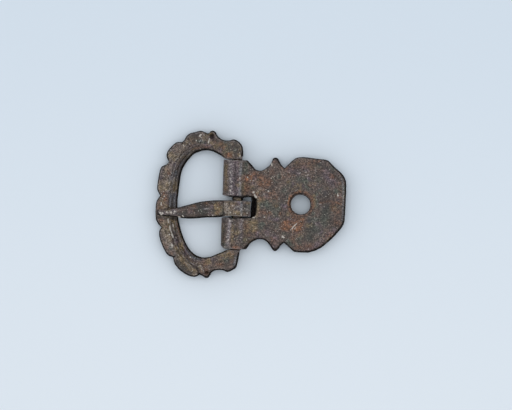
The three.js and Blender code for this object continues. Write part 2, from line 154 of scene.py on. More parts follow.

# Stains, rubbed places, painted shadows and highlights where the photograph shows them: each has
# its half width in pixels, its strength, and the pixels that its middle runs through, as x and y
# in turn
FRAME_STAINS_AND_LIGHT = {
    "rust": (
        (2.9, 1.8, 228.7, 156.3), (2.6, 0.9, 164, 193), (3, 1, 164.5, 198), (2.5, 0.7, 162, 205),
        (2.8, 1, 161.5, 220), (2, 0.6, 166, 227), (2, 0.4, 165, 214), (2.5, 0.6, 166, 247),
        (2.6, 0.5, 172, 253), (3, 0.5, 221, 144), (2.5, 0.5, 224, 148), (2.5, 0.4, 184, 265),
        (2, 0.4, 166, 238), (2.2, 0.5, 163, 212), (2, 0.5, 170, 174),
        (1.4, 0.45, 196, 148.5, 203, 147.5, 210, 147), (2, 0.9, 205.5, 272.5), (3, 0.5, 218, 264),
        (2.2, 0.6, 222, 264), (3, 0.5, 231, 253), (4, 0.45, 205, 263),
        (2.5, 0.45, 168, 168, 168, 173), (3, 0.3, 177, 152), (1.5, 0.6, 177, 224, 179, 232),
        (2.5, 0.4, 215, 142),
    ),
    "olive": (
        (4, 0.35, 166, 170, 165, 182), (2.2, 0.5, 168, 171),
        (4.5, 0.3, 168, 163, 176, 155, 184, 147), (4, 0.5, 192, 138), (3, 0.5, 186, 143),
        (3, 0.7, 163, 196, 161, 216, 164, 232), (2.6, 0.7, 205, 137), (3, 0.9, 165, 225),
        (3, 0.7, 169, 239), (2.6, 0.5, 166, 232, 168, 244), (2.2, 1, 176, 248), (3, 0.7, 180, 256),
        (2, 1, 180, 256, 184, 260, 188, 265, 193, 270), (4, 0.5, 181, 262, 188, 269),
        (1.8, 0.9, 200, 267, 202, 271), (4, 0.7, 229, 253), (2.5, 0.6, 232, 257),
        (3, 0.5, 221, 261), (3, 0.4, 232, 153), (2, 0.6, 239, 155), (3, 0.4, 227, 150),
        (2, 0.5, 158.5, 205, 159, 210), (1.6, 0.7, 166.5, 206), (3, 1, 238, 198.5),
    ),
    "green": (
        (2.6, 0.9, 229, 146, 226, 152), (2, 0.9, 198, 141, 204, 142), (3, 0.8, 226, 260),
        (2, 0.9, 170.5, 248), (1.3, 0.8, 169.5, 181, 169, 190), (3, 0.5, 235, 150),
        (2, 0.4, 218, 142), (2.2, 0.4, 178, 160, 182, 156),
    ),
    "slate": (
        (1.6, 0.9, 176, 172, 174.8, 184, 174.2, 196, 174, 206), (1.4, 1, 170.6, 195, 170.5, 206),
        (1.1, 0.8, 172.6, 173, 170.8, 180, 169.6, 187), (2, 0.6, 236, 143, 239, 148),
        (1.4, 0.9, 236, 257, 234.5, 264), (1.5, 0.7, 201, 141),
        (1.2, 0.7, 180, 166, 184, 158.5, 190, 152.5), (1.2, 0.6, 172.7, 224, 174.5, 232),
        (1.2, 0.6, 187, 251, 193, 257.5, 201, 260),
    ),
    "violet": (
        (2.2, 0.7, 161, 178), (2.6, 0.4, 163, 171), (1.2, 0.9, 171.5, 222, 171.6, 230),
        (1.6, 0.9, 175, 237, 177, 242), (1.6, 1, 181, 248), (1.4, 0.9, 185.5, 254),
        (2.5, 0.6, 194, 262), (3, 0.4, 202, 261), (2.4, 0.8, 206, 145, 213, 144.5),
        (2.4, 0.6, 221, 150), (3.2, 0.5, 172, 153), (1.2, 0.7, 174.5, 176, 173.6, 182),
        (3, 0.5, 213, 259),
    ),
    # Dark pits, grooves and patches, and painted shade: the tongue's shadow, the inner slope and
    # edge, and the bar's shaded end
    "dark": (
        (0.8, 1, 174.6, 171, 173.8, 176, 172.5, 181, 171.8, 186, 171.3, 191),
        (0.9, 0.9, 172, 202, 171.8, 207), (0.8, 0.9, 178, 171, 176.2, 177, 175, 183, 174.8, 188),
        (0.8, 0.7, 182, 160, 186, 155.5, 191, 151.5, 197, 149.4, 204, 148),
        (1.5, 1, 178.5, 190, 178.8, 178, 180, 169, 183.5, 161.5, 190, 155, 197, 151.8, 205, 150.3,
         214, 151.3, 220, 154), (1.1, 1.1, 171.2, 222, 172, 229, 174, 234, 177, 240),
        (0.8, 0.7, 177, 244, 180, 249, 184, 254),
        (1, 0.9, 177.5, 219, 179, 228, 182, 237, 186, 244, 191, 250, 197, 254.7, 205, 257, 212, 256,
         218, 253), (0.9, 0.9, 187, 258.5, 190, 263, 194, 266.3, 198, 268.5),
        (1.2, 0.9, 197.5, 268), (0.8, 0.5, 199, 270, 200, 272.6),
        (2.2, 0.6, 176.5, 262, 182, 269, 190, 273.5), (3, 0.5, 178, 262, 190, 271),
        (1.5, 1, 158, 217, 166, 217.8, 177, 218.5), (1.8, 0.9, 211.5, 135.5),
        (1.5, 0.9, 205.5, 272.5), (2, 0.5, 234, 141, 239, 147), (1, 0.8, 193, 141.5, 197, 138.5),
        (1, 0.7, 189.5, 143), (3, 0.3, 198, 145), (0.9, 0.6, 162, 192.8), (0.9, 0.7, 165.5, 193),
        (0.9, 0.6, 163.6, 201), (1, 0.6, 168.5, 198.5), (1, 0.7, 175.2, 256), (1.8, 0.4, 170, 151),
        (2.4, 0.4, 198, 134, 191, 136), (3, 0.4, 226, 144, 236, 147), (4, 0.3, 192, 138, 203, 137),
        (2, 0.4, 207, 262), (1.5, 0.5, 224, 268, 230, 269), (2.5, 0.3, 237, 153),
        (5, 0.2, 214, 262, 234, 259), (1, 1, 241.6, 198.5),
        (0.8, 0.8, 171.4, 224, 171.8, 231, 174.2, 239),
    ),
    # Pale scratches and specks, and painted glints on the burrs and the moulding's ridge
    "bright": (
        (0.8, 0.9, 164.3, 196.3), (0.7, 0.8, 162.8, 198.6), (0.6, 0.9, 161.3, 202.6, 161.2, 204.6),
        (0.6, 0.6, 163.5, 191.3), (0.8, 1, 199.8, 136, 201, 134.8), (0.6, 1, 196.2, 140.5),
        (0.6, 0.6, 201.7, 138), (0.8, 0.6, 199.3, 141.6), (0.6, 1, 209.5, 138.7, 208.3, 143),
        (0.8, 0.8, 183.6, 145.2), (0.65, 1.2, 168, 219.2, 168.5, 222.4),
        (0.65, 1, 169.6, 226, 170.2, 229.5), (0.7, 1, 169.4, 234.5),
        (0.7, 1.2, 171.8, 234.2, 173, 237), (0.6, 1, 172.8, 224.5, 173.4, 226.6),
        (0.6, 0.9, 170.6, 230.5, 171.4, 232.6), (0.8, 1, 171.3, 244.3, 172.6, 245.8),
        (0.5, 0.7, 169.4, 245.3), (0.7, 0.9, 190.3, 257.3), (0.5, 0.6, 240, 155, 240, 157),
        (0.6, 0.6, 177.7, 158.6), (0.5, 0.5, 178.6, 162), (0.6, 0.6, 181.6, 155.6),
        (0.6, 0.5, 203.3, 270.3, 204, 272), (0.6, 0.5, 168.5, 163.5),
    ),
    # Where the painted shade along the rim is turned off, next to the knuckles
    "no_rim_shade": (
        (2.6, 1, 225, 159, 243, 159), (2.6, 1, 228, 250, 240, 250),
    ),
    # Rubbed ridges, which also paint the highlight along the moulding's ridge and on the bar
    "rubbed_and_highlight": (
        (2.4, 0.5, 177, 160, 172.5, 172, 170, 184, 169.5, 193),
        (4.5, 0.32, 168, 162, 165, 180, 163, 194), (4.5, 0.32, 172, 158, 186, 145),
        (4, 0.3, 161, 205, 163, 222, 168, 240, 177, 256), (3, 0.3, 164, 231, 168, 245),
        (2.6, 0.4, 206, 136), (2.4, 0.4, 200, 271), (0.7, 1, 172.4, 173.5, 171, 178, 169.8, 183),
        (0.7, 1, 174.4, 177.6, 173.2, 181.5, 174, 184), (1, 1, 170.7, 202, 170.3, 205.6),
        (0.7, 0.6, 186, 154, 190, 150.5), (0.6, 0.6, 181, 157, 184, 153),
        (0.7, 0.9, 168, 219, 168.6, 223.5), (0.7, 1, 172.6, 224, 173.4, 230, 175.3, 233.4),
        (0.7, 0.9, 169.8, 227, 170.4, 231), (0.7, 0.7, 182.5, 256.5, 186, 262, 190, 268),
        (0.6, 0.6, 186.4, 259.5, 190, 265, 193, 268.6), (1.4, 0.4, 236, 198.5),
        (1, 0.7, 200.5, 265, 203, 271), (0.5, 0.6, 220.5, 255.5, 223.6, 252.5),
        (0.8, 0.8, 235.6, 257, 234.6, 264), (0.6, 0.5, 181.5, 250, 184, 254),
        (0.6, 0.5, 190, 257, 198, 261), (0.6, 0.6, 185, 146.5, 190, 144),
    ),
}
PLATE_STAINS_AND_LIGHT = {
    "rust": (
        (4.4, 0.6, 256, 174), (3.4, 0.8, 250, 178), (3.4, 0.6, 262, 178),
        (4, 0.35, 262, 184, 270, 180), (2.2, 0.8, 247, 177), (4, 0.5, 268, 184),
        (3, 0.45, 272, 172), (3, 0.5, 246, 192), (3, 0.4, 247, 187), (2.6, 0.5, 260, 212, 270, 213),
        (4, 0.5, 247, 226), (3, 0.4, 249, 235), (3, 0.5, 283, 177), (3, 0.6, 286, 168),
        (5, 0.4, 300, 165, 312, 166), (4, 0.3, 322, 170), (3, 0.4, 340, 190), (3, 0.4, 341, 200),
        (1.2, 0.6, 320, 203, 330, 201, 341, 204), (4, 0.45, 338, 212), (4, 0.5, 337, 223),
        (4, 0.6, 331, 235), (4, 0.3, 321, 243), (3, 0.45, 246, 180, 248, 188), (3, 0.4, 236, 247),
        (1.9, 1.3, 291, 197, 289.5, 203, 290.5, 210, 295, 215),
        (1.9, 0.9, 306, 193.5, 311.5, 198, 312.8, 205, 309, 213), (1.4, 0.5, 295, 193, 303, 191.5),
        (1.4, 0.8, 297, 216.5, 306, 215.5), (1.2, 0.5, 293, 194, 300, 191.5),
        (5, 1, 289, 226, 298, 225), (4, 0.7, 286, 224), (3, 0.7, 301, 221), (3.5, 0.5, 298, 231),
        (3.4, 0.6, 283, 227), (4, 0.5, 293, 239), (4, 0.5, 297, 247, 311, 246), (4, 0.4, 274, 240),
        (2.5, 0.6, 280, 214), (2.4, 0.5, 236, 249), (3, 0.4, 226, 190), (3, 0.4, 224, 238),
        (3, 0.35, 335, 176), (1.6, 0.6, 291, 217, 303, 218), (4, 0.3, 262, 190),
        (1.6, 0.5, 232, 247.5, 240, 248), (3, 0.3, 259, 184),
    ),
    "olive": (
        (3, 0.6, 252, 187), (3, 0.4, 258, 180), (2, 0.7, 257, 199, 258, 207, 256, 216),
        (3.5, 0.5, 262, 200), (2.6, 0.5, 276, 206), (5, 0.7, 250, 224), (3.5, 0.75, 254, 229),
        (3, 0.5, 246, 232), (2.4, 0.5, 226, 166, 226, 188), (2.6, 0.4, 297, 163),
        (3, 0.4, 264, 170), (2.4, 0.5, 244, 183, 244, 193), (4, 0.5, 334, 208), (3, 0.4, 329, 238),
        (2.2, 0.6, 314, 196, 314, 207), (2.4, 0.5, 300, 190.5), (2.4, 0.5, 299, 235),
        (2.2, 0.5, 223, 226, 223, 242), (3, 0.5, 245, 240), (2.4, 0.7, 256, 222),
        (2.4, 0.5, 288, 214), (2.5, 0.5, 233, 226, 232, 242), (2, 0.5, 257, 193, 260, 190),
    ),
    "green": (
        (5, 0.6, 262, 203, 277, 205), (2.8, 0.7, 246, 164, 245, 176), (2.4, 0.8, 247.5, 184),
        (3, 0.8, 261, 227), (5, 0.6, 271, 205), (4, 0.6, 277, 214), (3, 0.7, 279, 176),
        (3.5, 0.6, 284, 190), (4, 0.7, 299, 179, 307, 181), (2.2, 0.7, 316.5, 194, 316.5, 206),
        (2.6, 0.6, 313, 214), (5, 0.8, 326, 209, 324, 222), (5, 0.7, 313, 228, 310, 237),
        (3, 0.7, 320, 232), (3, 0.5, 277, 226), (4, 0.5, 318, 180), (3.5, 0.5, 258, 204),
        (2, 0.5, 242, 176, 243, 188), (4, 0.4, 290, 183), (3, 0.3, 334, 228),
    ),
    # Bluish grey patches, and painted highlights along the knuckle and the right edge
    "slate": (
        (4, 0.35, 325, 193), (2.4, 0.5, 309, 221), (1.4, 0.7, 241.3, 164, 240, 178, 239.5, 195),
        (1.2, 0.5, 341.5, 178, 343, 186, 343.2, 205, 342.5, 221),
        (1.2, 0.5, 230, 221, 228.5, 234, 226.5, 245), (2, 0.5, 285, 206), (3, 0.4, 306, 170),
    ),
    "violet": (
        (3, 0.7, 232, 163, 232, 195), (2.4, 0.7, 237, 163, 237, 196),
        (2, 0.7, 229.5, 221, 228, 245), (2, 0.5, 241, 221, 241, 240), (3, 0.5, 253, 184),
        (3.5, 0.6, 267, 232), (2.6, 0.9, 285, 207), (3, 0.6, 334, 230, 322, 241, 310, 249),
        (2.5, 0.6, 274, 246), (2, 0.5, 281, 205), (5, 0.7, 326, 172, 333, 183), (4, 0.6, 275, 238),
        (3, 0.5, 297, 233), (4, 0.5, 290, 170, 298, 173), (3.5, 0.4, 304, 246), (3, 0.5, 270, 218),
        (4, 0.4, 266, 196), (3, 0.5, 259, 238),
    ),
    # Dark patches, and painted shade in the dip between the knuckle's highlights, on its left side
    # and along the top edge
    "dark": (
        (1, 0.6, 235.6, 166, 235.3, 180, 235.5, 196), (1, 0.5, 234.5, 222, 234.5, 240),
        (5, 0.35, 326, 196, 325, 214), (4, 0.4, 312, 229, 309, 238), (3, 0.5, 309, 221),
        (3, 0.3, 283, 190), (3, 0.3, 300, 180), (1.5, 0.7, 224, 220.5), (3, 0.35, 333, 184),
        (2, 0.4, 301, 192), (2.4, 0.4, 318, 198), (1.2, 0.6, 298, 217.5, 306, 216),
        (1.2, 0.6, 289, 207), (1, 0.7, 243.5, 166, 243, 172), (3, 0.3, 296, 171),
        (4, 0.25, 281, 205), (3, 0.3, 320, 234), (1.5, 0.5, 270, 243, 275, 246),
        (2.5, 0.35, 242, 245), (1.5, 0.5, 250, 167, 254, 170),
        (9, 0.16, 300, 172, 328, 190, 328, 222, 302, 240), (2.4, 0.6, 225, 222, 222.5, 246),
        (1.4, 0.8, 340, 180, 333, 173, 325, 166.5, 316, 163),
    ),
    # Pale specks and a scratch, and painted glints on the knuckles and the burrs beside the slot
    "bright": (
        (0.5, 0.8, 262, 206), (0.5, 0.8, 257.4, 186), (0.5, 0.8, 279, 199), (0.5, 0.7, 285.4, 194),
        (0.5, 0.8, 277, 235.6), (0.5, 0.7, 303, 236), (0.5, 0.8, 310, 189), (0.5, 0.7, 322, 178),
        (0.55, 0.8, 246, 203.4), (0.5, 0.8, 249, 199), (0.5, 0.7, 266, 170), (0.5, 0.8, 296.4, 185),
        (0.5, 0.7, 281, 183), (0.5, 0.8, 273.4, 224), (0.5, 0.7, 331, 231), (0.5, 0.8, 249, 238),
        (0.5, 0.7, 236, 232), (1, 1.15, 253.6, 192.4), (0.9, 1, 254.8, 195.2), (1, 1.1, 256, 197),
        (0.6, 0.9, 271, 178.5), (0.5, 0.6, 272, 182.6), (0.8, 0.9, 268.5, 191.3),
        (0.8, 0.6, 264, 194), (0.5, 0.5, 263.4, 184), (0.6, 1, 271, 163, 272, 165.5),
        (0.8, 0.8, 264.3, 217), (0.5, 0.5, 268.4, 218.2), (1, 1.2, 253.5, 217.2),
        (0.6, 0.6, 255, 209.6), (0.45, 1, 290.8, 230.2, 293.6, 226.4, 296.6, 223.4),
        (0.4, 0.7, 294.6, 229, 296.2, 226.4), (0.6, 1, 337.6, 193.8, 337.9, 196.2),
        (0.9, 1, 282, 236.4, 283.6, 237.4), (0.5, 0.6, 284.8, 235.6), (0.8, 0.8, 300, 173),
        (0.7, 0.9, 247.6, 177.3), (0.7, 0.6, 240, 177.5), (0.6, 1, 230.4, 172),
        (0.6, 0.9, 231.6, 175.4), (0.6, 1, 230.2, 178.6), (0.6, 0.9, 232, 181.5),
        (0.6, 1, 231.2, 186), (0.7, 1, 230.4, 190.6), (0.6, 0.9, 233, 193.6), (0.7, 1, 230, 220.6),
        (0.6, 1, 228.2, 234), (0.6, 0.9, 226.5, 236.6), (0.6, 0.9, 229.6, 231.6),
        (0.7, 1, 228.4, 239.6), (0.5, 0.6, 226.4, 241.2), (0.5, 0.5, 230.2, 244),
        (0.6, 0.6, 243, 220.6), (0.5, 0.6, 239.6, 224), (0.6, 0.6, 332.4, 185.2),
        (0.5, 0.5, 328.6, 187), (0.5, 0.6, 316, 171), (0.5, 0.5, 309.4, 173),
        (0.5, 0.5, 291.4, 190), (0.5, 0.5, 296, 189), (0.5, 0.6, 313.6, 191),
        (0.6, 0.5, 318.6, 235), (0.5, 0.5, 326.5, 214), (0.5, 0.4, 276.4, 192.5),
        (0.5, 0.5, 274.6, 216.4), (0.5, 0.6, 290.4, 216), (0.5, 0.5, 288, 243),
        (0.5, 0.4, 334, 223),
    ),
    # Where the painted shade along the rim is turned off: along the knuckles and round the rivet's
    # print
    "no_rim_shade": (
        (2.2, 1, 224, 160, 244, 160), (2.2, 1, 226, 249, 241, 249),
        (1.8, 0.45, 291, 204, 294, 197, 301, 194, 308.5, 197, 311.5, 204, 308.5, 211.5, 301, 214.5,
         294, 211.5, 291, 204),
    ),
    # Rubbed places, and the painted highlights: two stripes along each knuckle and one along the
    # right edge
    "rubbed_and_highlight": (
        (1.7, 0.8, 231, 162, 231, 195.5), (1.3, 0.7, 241.2, 163, 240, 178, 239.2, 195),
        (1.6, 0.9, 230, 220.5, 229, 232, 227.3, 246), (1.2, 0.7, 242, 220, 240.6, 228, 241, 239),
        (0.6, 0.6, 315.4, 168.5, 315.8, 173.5), (0.5, 0.4, 313, 219, 322, 241),
        (0.5, 0.6, 341.6, 178, 343.3, 186, 343.4, 205, 342.6, 221),
        (0.5, 0.6, 266, 236.2, 272, 235.6), (0.5, 0.5, 305, 176, 311, 174),
        (0.5, 0.4, 316, 190, 318, 185), (1, 0.5, 257, 192, 261, 188),
    ),
}
TONGUE_STAINS_AND_LIGHT = {
    # Where the painted shade along the rim is turned off, round the eye
    "no_rim_shade": (
        (2.4, 1, 250.6, 202, 250.6, 216), (2, 0.8, 224, 216, 250, 216),
        (1.8, 0.6, 224, 201.6, 248, 201.6),
    ),
    "rust": (
        (3.4, 0.5, 194, 209), (1.6, 0.6, 194.5, 206), (2, 0.9, 206, 203.4), (3, 0.45, 232, 206),
        (2, 0.4, 237, 204), (2.4, 0.5, 218, 212), (2, 0.5, 219, 205), (3, 0.3, 182, 211),
    ),
    "olive": (
        (4, 0.35, 226, 204, 234, 204), (3, 0.3, 228, 214, 246, 214), (3, 0.8, 216, 204, 217, 214),
        (3.4, 0.7, 221, 209), (4, 0.5, 229, 206, 229, 213), (4, 0.3, 246, 208),
        (2, 0.7, 205.5, 203.6), (3, 0.4, 236, 211), (1.4, 0.5, 246, 203, 249, 203),
    ),
    "green": (
        (2, 0.9, 203, 213), (1.6, 0.7, 206.5, 211.5), (3, 0.5, 247, 210), (2, 0.6, 227, 214),
        (2, 0.5, 184, 213),
    ),
    # Bluish grey patches, and a painted highlight along the eye
    "slate": (
        (2.6, 0.6, 236, 207, 238, 211), (2.4, 0.5, 246, 205, 247, 210), (2, 0.5, 203.5, 208.5),
        (2.4, 0.7, 228, 212), (1.4, 0.6, 226, 204), (1.3, 0.7, 241.4, 203, 241.2, 215),
    ),
    "violet": (
        (2, 0.9, 160, 213, 175, 212.5), (2.6, 0.7, 191, 211), (2, 1, 213, 206.8),
        (2.2, 0.9, 238.5, 203), (3, 0.6, 237, 210), (2.4, 0.5, 232, 211), (2, 0.5, 246, 203),
        (2, 0.5, 210, 213), (1.6, 0.6, 213, 215.4),
    ),
    # Dark patches, and painted shadows along the tongue's two long edges and between its eye and
    # the knuckle
    "dark": (
        (5, 0.28, 184, 211, 214, 208), (2.4, 1.4, 199, 205, 203, 205.4), (1.6, 1.1, 204, 212.6),
        (1.2, 0.9, 193, 209, 197, 210.5), (1, 0.8, 212, 209.5, 214, 211), (1.2, 0.6, 207.5, 211),
        (1.2, 0.8, 180.5, 213.4), (2, 0.7, 186, 214.6), (1.2, 1, 164, 211.4),
        (1.2, 1, 166.6, 214.4), (1.2, 1, 170, 214.6), (1.2, 1, 173, 214), (1, 1, 168.8, 211.4),
        (1, 0.9, 158.6, 214.6, 160, 215.4), (1.4, 0.8, 177, 213), (1.2, 0.5, 178, 209.5),
        (1, 1, 158, 216, 166, 216.7, 174, 217.3, 179, 218),
        (0.9, 0.9, 179, 208.8, 186, 206, 193, 203.8, 200, 202.3, 208, 201.4, 219, 201),
        (1.4, 1, 185, 217, 195, 217.6, 205, 217.2, 214, 216.4, 222, 216),
        (2.2, 0.4, 245, 206, 246, 212), (0.7, 0.7, 223.4, 202, 223.4, 215),
        (1.4, 0.7, 196, 215.6, 203, 216), (2.2, 0.4, 246, 206), (1.2, 0.5, 208, 207),
        (1, 0.8, 209.5, 202.6, 215, 203), (1.2, 0.6, 237, 203.5), (2, 0.5, 198, 212),
        (1, 0.5, 231, 209.5), (1, 0.5, 227.5, 207), (0.6, 0.6, 226, 216.9, 250, 216.8),
    ),
    # Pale specks, and painted glints on the tip's ridge and the eye
    "bright": (
        (0.6, 0.9, 232.4, 205.6), (0.6, 0.8, 244.6, 208.4), (0.55, 0.8, 235.4, 213.4),
        (0.5, 0.8, 238, 206.4), (0.5, 0.7, 248, 206.2), (0.8, 1.5, 160.4, 212.6),
        (0.8, 1.5, 162.8, 213.2), (0.7, 1.3, 161.4, 214.4), (0.7, 1.3, 167, 212),
        (0.7, 1.3, 171.3, 212.4), (0.8, 1.5, 175, 211.4), (0.6, 0.8, 174, 213.6),
        (0.6, 0.9, 178.6, 216.6, 180.4, 217.4), (0.6, 0.8, 182.8, 215.4, 183.5, 216.6),
        (0.6, 0.5, 183, 211.5), (0.7, 0.8, 213, 215.4), (0.6, 0.5, 208.6, 215.2),
        (0.7, 0.8, 241.4, 209), (0.6, 0.8, 240.6, 211), (0.6, 0.7, 241, 214.4),
        (0.7, 0.9, 247, 213.2), (0.7, 0.7, 230.4, 212.4), (0.6, 0.7, 228, 210.2),
        (0.7, 0.7, 226, 213), (0.6, 0.6, 231, 215), (0.5, 0.6, 225.4, 205.2),
        (0.5, 0.6, 227, 203.6), (0.5, 0.5, 234.4, 208.6), (0.5, 0.5, 229.4, 215.2),
    ),
    # Rubbed places, and painted highlights along the eye and on the tip's ridge
    "rubbed_and_highlight": (
        (3, 0.3, 226, 206, 247, 209), (1, 1, 241.4, 202.5, 241.1, 215.5),
        (2.2, 0.5, 226, 204, 227, 213), (1.6, 0.6, 230.5, 213),
        (1.2, 0.7, 159.5, 212.6, 175.5, 212), (0.6, 0.5, 190, 208, 196, 207.6),
        (0.8, 0.9, 205, 209, 210, 208.6),
    ),
}


# Working on a piece


def work_on(*pieces):
    """Select only these pieces, with the first one active."""
    bpy.ops.object.select_all(action="DESELECT")
    for piece in pieces:
        piece.select_set(True)
    bpy.context.view_layer.objects.active = pieces[0]


def forged_copy(node, name):
    """A merged copy of a solid from the frame, as a piece of its own."""
    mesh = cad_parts[node].data.copy()
    mesh.name = name
    mesh.materials.clear()
    piece = bpy.data.objects.new(name, mesh)
    bpy.context.scene.collection.objects.link(piece)
    work_on(piece)
    bpy.ops.object.mode_set(mode="EDIT")
    bpy.ops.mesh.select_all(action="SELECT")
    bpy.ops.mesh.remove_doubles(threshold=0.001 * MM)
    bpy.ops.object.mode_set(mode="OBJECT")
    return piece


def apply_all(piece):
    work_on(piece)
    for modifier in list(piece.modifiers):
        bpy.ops.object.modifier_apply(modifier=modifier.name)


def carve(piece, cutters):
    """Cut the cutters out of the piece, one after the other."""
    for cutter in cutters:
        cut = piece.modifiers.new("carve", "BOOLEAN")
        cut.operation = "DIFFERENCE"
        cut.solver = "EXACT"
        cut.object = cutter
        apply_all(piece)
        bpy.data.objects.remove(cutter)


def regrain(piece, grain, rounds):
    """Skin the piece evenly in small faces, which rounds its worn edges, and relax it."""
    skin = piece.modifiers.new("skin", "REMESH")
    skin.mode = "VOXEL"
    skin.voxel_size = grain
    skin.adaptivity = 0
    relax = piece.modifiers.new("relax", "SMOOTH")
    relax.factor = 0.5
    relax.iterations = rounds
    apply_all(piece)


def clouds(name, size, depth):
    texture = bpy.data.textures.new(name, "CLOUDS")
    texture.noise_basis = "IMPROVED_PERLIN"
    texture.noise_scale = size
    texture.noise_depth = depth
    return texture


def pits(name, size, edge):
    """Round pits scattered evenly: 0 in the middle of each and 1 beyond its edge."""
    texture = bpy.data.textures.new(name, "VORONOI")
    texture.noise_scale = size
    texture.distance_metric = "DISTANCE"
    texture.use_color_ramp = True
    middle, rest = texture.color_ramp.elements
    middle.position, middle.color = 0.05, (0, 0, 0, 1)
    rest.position, rest.color = edge, (1, 1, 1, 1)
    return texture


def corrode(piece, texture, depth, level):
    """Move the surface along its normal, by how far the texture is from the level."""
    wear = piece.modifiers.new(texture.name, "DISPLACE")
    wear.texture = texture
    wear.texture_coords = "LOCAL"
    wear.strength = depth
    wear.mid_level = level
    apply_all(piece)


def corrode_all(piece, name, settings):
    """Hammered unevenness, crust, grit and pits, from the broadest to the finest."""
    waviness = settings.waviness
    corrode(piece, clouds(name + "_hammering", settings.hammering, 2), waviness, 0.5)
    corrode(piece, clouds(name + "_crust", CRUST_SIZE, 3), CRUST_SHARE * waviness, 0.5)
    corrode(piece, clouds(name + "_grit", GRIT_SIZE, 2), settings.grit, 0.5)
    corrode(piece, pits(name + "_pits", PIT_SPACING, PIT_EDGE), settings.pitting, 1.0)


def thin_out(piece, kept):
    """Keep that share of the faces, the fewest where the surface is flat."""
    thin = piece.modifiers.new("thin", "DECIMATE")
    thin.ratio = kept
    apply_all(piece)


def vertex_data(mesh):
    """Places in millimetres and normals of all the vertices."""
    count = len(mesh.vertices)
    places = np.empty(3 * count)
    mesh.vertices.foreach_get("co", places)
    normals = np.empty(3 * count)
    mesh.vertex_normals.foreach_get("vector", normals)
    return places.reshape(-1, 3) / MM, normals.reshape(-1, 3)


def smooth_values(mesh, values, rounds):
    """Each vertex's values averaged with its neighbours' over some rounds."""
    count = len(mesh.vertices)
    ends = np.empty(2 * len(mesh.edges), np.int64)
    mesh.edges.foreach_get("vertices", ends)
    a, b = ends[0::2], ends[1::2]
    around = np.maximum(np.bincount(ends, minlength=count), 1)
    for _ in range(rounds):
        values = np.stack(
            [
                (
                    np.bincount(a, weights=column[b], minlength=count)
                    + np.bincount(b, weights=column[a], minlength=count)
                )
                / around
                for column in values.T
            ],
            axis=1,
        )
    return values


def mark(mesh, name, values):
    """Store one number for each vertex."""
    store = mesh.attributes.new(name, "FLOAT", "POINT")
    store.data.foreach_set("value", values.astype(np.float32))


def ramp(values, low, high):
    """The values' stretch from low to high as 0 to 1."""
    return np.clip((values - low) / (high - low), 0, 1)


def mark_relief(piece, grain, walls_from):
    """Store how far each vertex stands proud, as a grain and in a ridge, and how near a rim."""

    def rounds(reach):
        return round(2 * (reach / grain) ** 2)

    mesh = piece.data
    places, normals = vertex_data(mesh)
    near = smooth_values(mesh, places, rounds(GRAIN_REACH))
    far = smooth_values(mesh, near, rounds(RIDGE_REACH))
    facing = smooth_values(mesh, normals, rounds(GRAIN_REACH))
    facing /= np.linalg.norm(facing, axis=1, keepdims=True)
    # Painted shade along the rims of the steep walls, broadest on those facing the dark side
    steep = (np.abs(facing[:, 2]) < WALL_NORMAL) & (places[:, 0] > walls_from)
    steep = np.stack([steep, steep * (1 + facing[:, :2] @ DARK_SIDE)], axis=1)
    wall, rim = smooth_values(mesh, steep, rounds(RIM_REACH)).T
    proud = RELIEF_GAIN * ((places - near) * normals).sum(axis=1)
    ridge = RELIEF_GAIN * ((near - far) * facing).sum(axis=1)
    rim = ramp(rim, RIM_START, RIM_FULL) * np.maximum(ramp(wall, WALL_MIDDLE, WALL_START), WALL_RIM)
    mark(mesh, "relief", np.clip(proud, -GRAIN_LIMIT, GRAIN_LIMIT))
    mark(mesh, "ridges", np.clip(ridge, -RIDGE_LIMIT, RIDGE_LIMIT))
    mark(mesh, "rim", rim)


def photo_places(pixels):
    """Where pixels of the photograph, given as x and y in turn, lie in plan, in millimetres."""
    right, down = (np.reshape(pixels, (-1, 2)) - BAR_PIXEL).T * PIXEL
    cos, sin = math.cos(PHOTO_TURN), math.sin(PHOTO_TURN)
    return BAR_MIDDLE + np.stack([cos * right + sin * down, sin * right - cos * down], axis=1)


def distance_to_line(places, points):
    """How far each place is, in plan, from a line through the points."""
    nearest = np.linalg.norm(places - points[0], axis=1)
    for start, end in zip(points, points[1:]):
        along = end - start
        part = np.clip((places - start) @ along / (along @ along), 0, 1)
        away = np.linalg.norm(places - start - part[:, None] * along, axis=1)
        nearest = np.minimum(nearest, away)
    return nearest


def inner_shade(places, normals, walls_from):
    """Painted shade on the walls and on what faces inwards, between the two leaves and round the
    bar.
    """
    along, height = places[:, 0], places[:, 2]
    upright = np.abs(normals[:, 2])
    walls = np.clip(SHADED_NORMAL - upright, 0, WALL_SHADE) * (along > walls_from)
    inside = (height > INSIDE_LOW) & (height < INSIDE_HIGH) & (upright > INSIDE_NORMAL)
    return walls + INSIDE_SHADE * (inside & (along > INSIDE_FROM))


def mark_stains_and_light(piece, face_height, stains_and_light, walls_from):
    """Store each kind of stain and painted light, from 0 to 1 and fading below the given height."""
    mesh = piece.data
    places, normals = vertex_data(mesh)
    drop = np.maximum(face_height / MM - places[:, 2], 0)
    for kind, strokes in stains_and_light.items():
        amount = np.zeros(len(places))
        for half_width, strength, *line in strokes:
            away = np.hypot(distance_to_line(places[:, :2], photo_places(line)), drop)
            amount += strength * np.exp(-((away / (half_width * PIXEL)) ** 2))
        mark(mesh, kind, np.clip(amount, 0, 1))
    mark(mesh, "inside", inner_shade(places, normals, walls_from))


# Material of the iron


